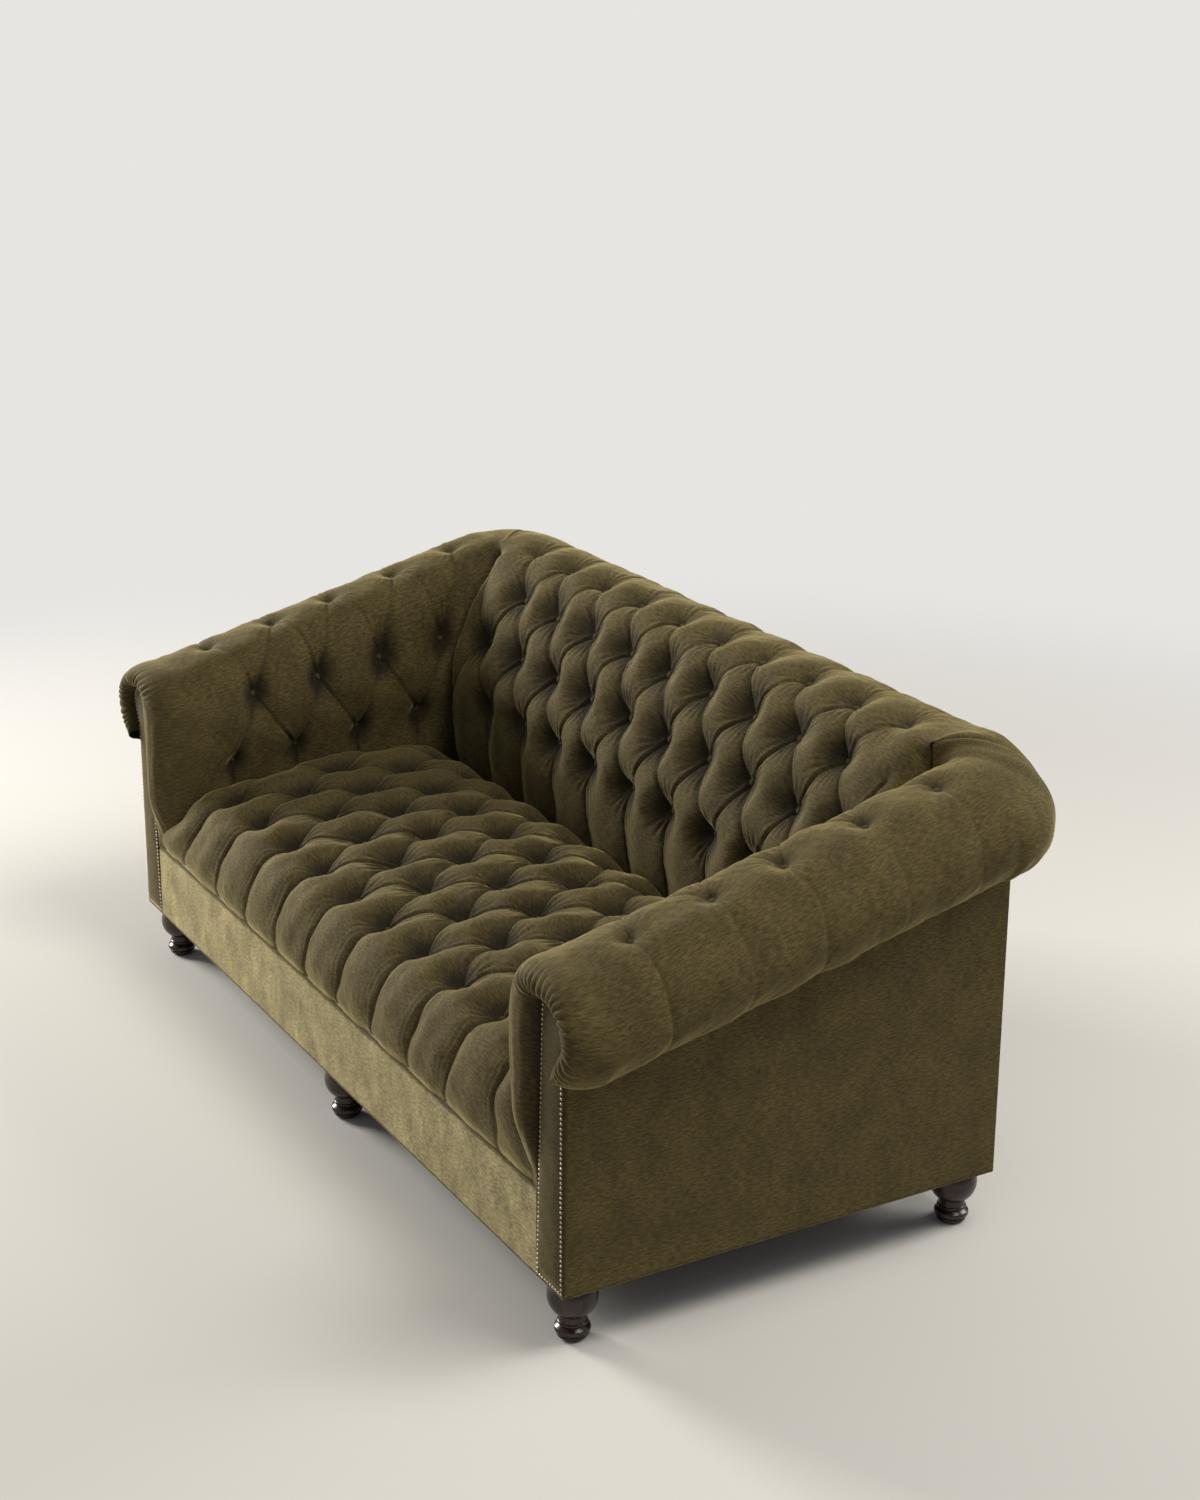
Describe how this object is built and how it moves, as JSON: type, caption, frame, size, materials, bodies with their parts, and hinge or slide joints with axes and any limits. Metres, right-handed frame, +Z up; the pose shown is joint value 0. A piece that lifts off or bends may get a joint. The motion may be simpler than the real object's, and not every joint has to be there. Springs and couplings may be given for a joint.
{
  "type": "sofa",
  "caption": "Deep-buttoned roll-arm sofa with a tight tufted seat, a rolled back that runs into sloping arms, nailed arm facings and turned feet.",
  "frame": {"origin": "on the floor under the middle of the overall box", "axes": "+X towards the right arm as seen from the front, -Y out of the front of the seat, +Z up"},
  "size_m": [2.18, 1.094, 0.936],
  "materials": {
    "frame_wood": "sawn hardwood, unfinished",
    "spring_steel": "plain drawn wire",
    "burlap": "coarse open weave",
    "filling": "matte foam",
    "cover_velvet": "olive brown chenille velvet with a mottled pile",
    "welt_velvet": "the cover's velvet over cord",
    "button_velvet": "the cover's velvet, stretched",
    "nail_bronze": "antique bronze, worn on the domes",
    "dust_cloth": "matte black non-woven",
    "foot_wood": "dark espresso stain, satin",
    "glide_plastic": "matte"
  },
  "bodies": {
    "root": {"arm_burlaps": "burlap", "arm_buttons": "button_velvet", "back_burlap": "burlap", "back_buttons": "button_velvet", "back_left_foot": "foot_wood", "back_middle_foot": "foot_wood", "back_right_foot": "foot_wood", "back_roll_core": "filling", "back_seat_rail": "frame_wood", "back_springs": "spring_steel", "back_tack_rail": "frame_wood", "back_top_rail": "frame_wood", "back_uprights": "frame_wood", "base_welts": "welt_velvet", "centre_stretcher": "frame_wood", "corner_blocks": "frame_wood", "dust_cover": "dust_cloth", "foot_bolts": "spring_steel", "foot_glides": "glide_plastic", "frame_dowels": "frame_wood", "front_edge_roll": "filling", "front_left_foot": "foot_wood", "front_middle_foot": "foot_wood", "front_rail_panel": "cover_velvet", "front_right_foot": "foot_wood", "front_seat_rail": "frame_wood", "left_arm_facing": "cover_velvet", "left_arm_nails": "nail_bronze", "left_arm_rail": "frame_wood", "left_arm_roll_core": "filling", "left_arm_tack_rail": "frame_wood", "left_back_corner": "cover_velvet", "left_back_post": "frame_wood", "left_front_post": "frame_wood", "left_outside_arm": "cover_velvet", "left_seat_rail": "frame_wood", "left_tufted_arm": "cover_velvet", "outside_back": "cover_velvet", "right_arm_facing": "cover_velvet", "right_arm_nails": "nail_bronze", "right_arm_rail": "frame_wood", "right_arm_roll_core": "filling", "right_arm_tack_rail": "frame_wood", "right_back_corner": "cover_velvet", "right_back_post": "frame_wood", "right_front_post": "frame_wood", "right_outside_arm": "cover_velvet", "right_seat_rail": "frame_wood", "right_tufted_arm": "cover_velvet", "seat_burlap": "burlap", "seat_buttons": "button_velvet", "seat_foam": "filling", "seat_front_welt": "welt_velvet", "seat_springs": "spring_steel", "side_stretchers": "frame_wood", "spring_clips": "spring_steel", "tufted_back": "cover_velvet", "tufted_seat": "cover_velvet"}
  },
  "joints": []
}
